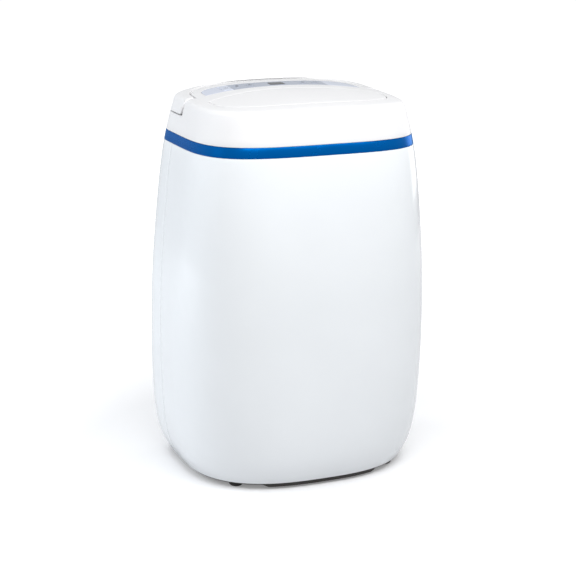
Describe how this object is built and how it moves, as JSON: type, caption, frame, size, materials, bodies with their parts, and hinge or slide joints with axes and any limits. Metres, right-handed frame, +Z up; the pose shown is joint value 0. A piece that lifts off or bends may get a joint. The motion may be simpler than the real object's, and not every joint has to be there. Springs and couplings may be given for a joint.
{
  "type": "dehumidifier",
  "caption": "Upright compressor dehumidifier with a rounded casing, carry handle, top outlet flap, control keys, rear intake grille, filter and pull-out water tank.",
  "frame": {"origin": "on the floor, under the middle of the casing's bounding box", "axes": "+Z up, +X to the right seen from the front, -Y towards the front"},
  "size_m": [0.3288, 0.2453, 0.487],
  "materials": {
    "gloss_white": "high-gloss cool white moulding",
    "satin_white": "fine satin white moulding",
    "gloss_blue": "glossy royal blue trim",
    "lavender": "glossy pale lavender-blue panel",
    "smoked": "smoked display lens",
    "grey_plastic": "plain grey moulding",
    "dark_plastic": "black-brown moulding",
    "rubber": "dull black rubber",
    "clear_plastic": "translucent bluish tank plastic",
    "steel": "zinc-plated steel",
    "aluminium": "bare aluminium",
    "copper": "copper tube",
    "black_enamel": "black enamelled steel can",
    "circuit_green": "circuit board",
    "mesh_grey": "fine woven filter gauze"
  },
  "bodies": {
    "casing": {"front_shell": "gloss_white", "rear_shell": "gloss_white", "top_cover": "satin_white", "trim_band": "gloss_blue", "control_fascia": "lavender", "display_window": "smoked", "tank_bay": "grey_plastic", "drip_tray": "grey_plastic", "fan_housing": "grey_plastic", "outlet_duct": "grey_plastic", "fan_shroud": "grey_plastic", "electronics_box": "grey_plastic", "base_pan": "dark_plastic", "outlet_grille": "dark_plastic", "cord_gland": "dark_plastic", "tank_switch": "dark_plastic", "foot_front_left": "rubber", "foot_front_right": "rubber", "foot_rear_left": "rubber", "foot_rear_right": "rubber", "compressor_grommet_1": "rubber", "compressor_grommet_2": "rubber", "compressor_grommet_3": "rubber", "base_screw_front_left": "steel", "base_screw_front_right": "steel", "base_screw_rear_left": "steel", "base_screw_rear_right": "steel", "handle_pin_left": "steel", "handle_pin_right": "steel", "compressor_bolt_1": "steel", "compressor_bolt_2": "steel", "compressor_bolt_3": "steel", "fan_motor": "steel", "condenser_coil": "aluminium", "evaporator_coil": "aluminium", "run_capacitor": "aluminium", "discharge_pipe": "copper", "suction_pipe": "copper", "capillary_pipe": "copper", "compressor": "black_enamel", "control_board": "circuit_green", "humidity_sensor": "circuit_green"},
    "handle": {"carry_handle": "satin_white"},
    "flap": {"outlet_flap": "satin_white"},
    "key_power": {"power_key": "lavender"},
    "key_mode": {"mode_key": "lavender"},
    "key_fan_speed": {"fan_speed_key": "lavender"},
    "key_humidity": {"humidity_key": "lavender"},
    "key_timer": {"timer_key": "lavender"},
    "filter": {"intake_grille": "gloss_white", "filter_frame": "dark_plastic", "filter_mesh": "mesh_grey"},
    "tank": {"water_tank": "clear_plastic", "tank_face": "gloss_white", "tank_lid": "clear_plastic"},
    "float": {"tank_float": "grey_plastic"},
    "plug": {"drain_plug": "rubber"},
    "fan": {"fan_wheel": "dark_plastic", "fan_shaft": "steel"}
  },
  "joints": [
    {"name": "handle_hinge", "type": "hinge", "parent": "casing", "child": "handle", "pos_m": [0, 0.04, 0.4655], "axis": [1, 0, 0], "range_deg": [0, 90]},
    {"name": "flap_hinge", "type": "hinge", "parent": "casing", "child": "flap", "pos_m": [0, -0.013, 0.47], "axis": [-1, 0, 0], "range_deg": [0, 45]},
    {"name": "power_key_press", "type": "slide", "parent": "casing", "child": "key_power", "axis": [0, 0, -1], "range_m": [0, 0.001], "stiffness_N_per_m": 500},
    {"name": "mode_key_press", "type": "slide", "parent": "casing", "child": "key_mode", "axis": [0, 0, -1], "range_m": [0, 0.001], "stiffness_N_per_m": 500},
    {"name": "fan_speed_key_press", "type": "slide", "parent": "casing", "child": "key_fan_speed", "axis": [0, 0, -1], "range_m": [0, 0.001], "stiffness_N_per_m": 500},
    {"name": "humidity_key_press", "type": "slide", "parent": "casing", "child": "key_humidity", "axis": [0, 0, -1], "range_m": [0, 0.001], "stiffness_N_per_m": 500},
    {"name": "timer_key_press", "type": "slide", "parent": "casing", "child": "key_timer", "axis": [0, 0, -1], "range_m": [0, 0.001], "stiffness_N_per_m": 500},
    {"name": "filter_pull", "type": "slide", "parent": "casing", "child": "filter", "axis": [0, 1, 0], "range_m": [0, 0.06]},
    {"name": "tank_slide", "type": "slide", "parent": "casing", "child": "tank", "axis": [0, 1, 0], "range_m": [0, 0.13]},
    {"name": "float_hinge", "type": "hinge", "parent": "tank", "child": "float", "pos_m": [0.075, 0.014, 0.168], "axis": [1, 0, 0], "range_deg": [0, 20]},
    {"name": "plug_pull", "type": "slide", "parent": "casing", "child": "plug", "axis": [0, 1, 0], "range_m": [0, 0.03]},
    {"name": "fan_spin", "type": "hinge", "parent": "casing", "child": "fan", "pos_m": [0, -0.03, 0.315], "axis": [0, 1, 0], "continuous": true}
  ]
}
